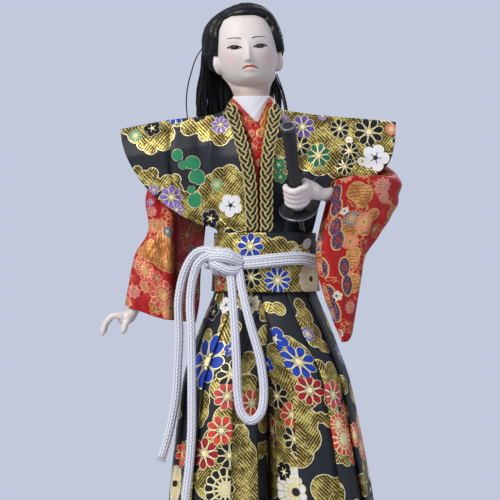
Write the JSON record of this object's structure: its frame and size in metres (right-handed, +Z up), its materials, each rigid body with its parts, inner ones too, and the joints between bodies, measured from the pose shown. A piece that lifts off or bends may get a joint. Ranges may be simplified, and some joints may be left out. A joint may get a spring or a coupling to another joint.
{
  "type": "samurai doll",
  "caption": "Standing samurai doll in brocade robe, winged jacket and pleated trousers, hand on a sheathed sword, on a lacquered base.",
  "frame": {"origin": "centre of the base's underside, on the table", "axes": "+Z up, -Y the way the doll faces, +X to the doll's left"},
  "size_m": [0.1493, 0.1112, 0.3123],
  "materials": {
    "lacquer": "black lacquer, glossy",
    "dowel_wood": "bare turned wood",
    "wadding": "felted stuffing",
    "skin": "smooth white vinyl with painted features",
    "hair": "combed black nylon fibre",
    "white_cloth": "plain white woven cloth",
    "white_cord": "braided white cord",
    "red_brocade": "red and copper brocade with gold and flower patches",
    "black_brocade": "black brocade with gold clouds and coloured flowers",
    "braid": "plaited gold and black trim",
    "straw": "plaited straw",
    "strap": "black cloth strap",
    "black_lacquer": "glossy black with worn edges",
    "dull_metal": "dark metal fittings",
    "blade_steel": "bright blade",
    "wire": "drawn wire"
  },
  "bodies": {
    "figure": {"base_plinth": "lacquer", "leg_dowel_right": "dowel_wood", "leg_dowel_left": "dowel_wood", "zori_sole_right": "straw", "zori_sole_left": "straw", "zori_strap_right": "strap", "zori_strap_left": "strap", "tabi_foot_right": "white_cloth", "tabi_foot_left": "white_cloth", "body_core": "wadding", "neck_peg": "dowel_wood", "leg_wadding_right": "wadding", "leg_wadding_left": "wadding", "kimono_body": "red_brocade", "under_collar": "white_cloth", "kimono_collar": "red_brocade", "jacket_front_right": "black_brocade", "jacket_front_left": "black_brocade", "jacket_back": "black_brocade", "braid_right": "braid", "braid_left": "braid", "obi": "black_brocade", "waist_cord": "white_cord", "hakama": "black_brocade", "hakama_back_board": "black_brocade", "cord_knot": "white_cord", "cord_loop": "white_cord", "cord_tail_inner": "white_cord", "cord_tail_outer": "white_cord", "left_arm_wire": "wire", "left_arm_wadding": "wadding", "left_sleeve": "red_brocade", "left_hand": "skin"},
    "head": {"head": "skin", "hair_cap": "hair", "hair_tie": "strap", "hair_tail": "hair"},
    "right_arm": {"right_arm_wire": "wire", "right_arm_wadding": "wadding", "right_sleeve": "red_brocade", "right_hand": "skin"},
    "katana": {"guard": "black_lacquer", "hilt_collar": "dull_metal", "hilt": "black_lacquer", "pommel": "black_lacquer", "blade": "blade_steel"},
    "saya": {"scabbard": "black_lacquer", "scabbard_mouth": "dull_metal", "scabbard_cap": "dull_metal"}
  },
  "joints": [
    {"name": "head_turn", "type": "hinge", "parent": "figure", "child": "head", "pos_m": [-0.0065, 0, 0.258], "axis": [0, 0, 1], "range_deg": [-20, 20], "deforming": ["hair_tail"]},
    {"name": "right_arm_swing", "type": "hinge", "parent": "figure", "child": "right_arm", "pos_m": [-0.0274, 0, 0.23604], "axis": [1, 0, 0], "range_deg": [-5, 12]},
    {"name": "katana_slide", "type": "slide", "parent": "figure", "child": "katana", "axis": [-0.1198, -0.6428, 0.7566], "range_m": [-0.005, 0]},
    {"name": "saya_draw", "type": "slide", "parent": "katana", "child": "saya", "axis": [0.1198, 0.6428, -0.7566], "range_m": [0, 0.075]}
  ]
}
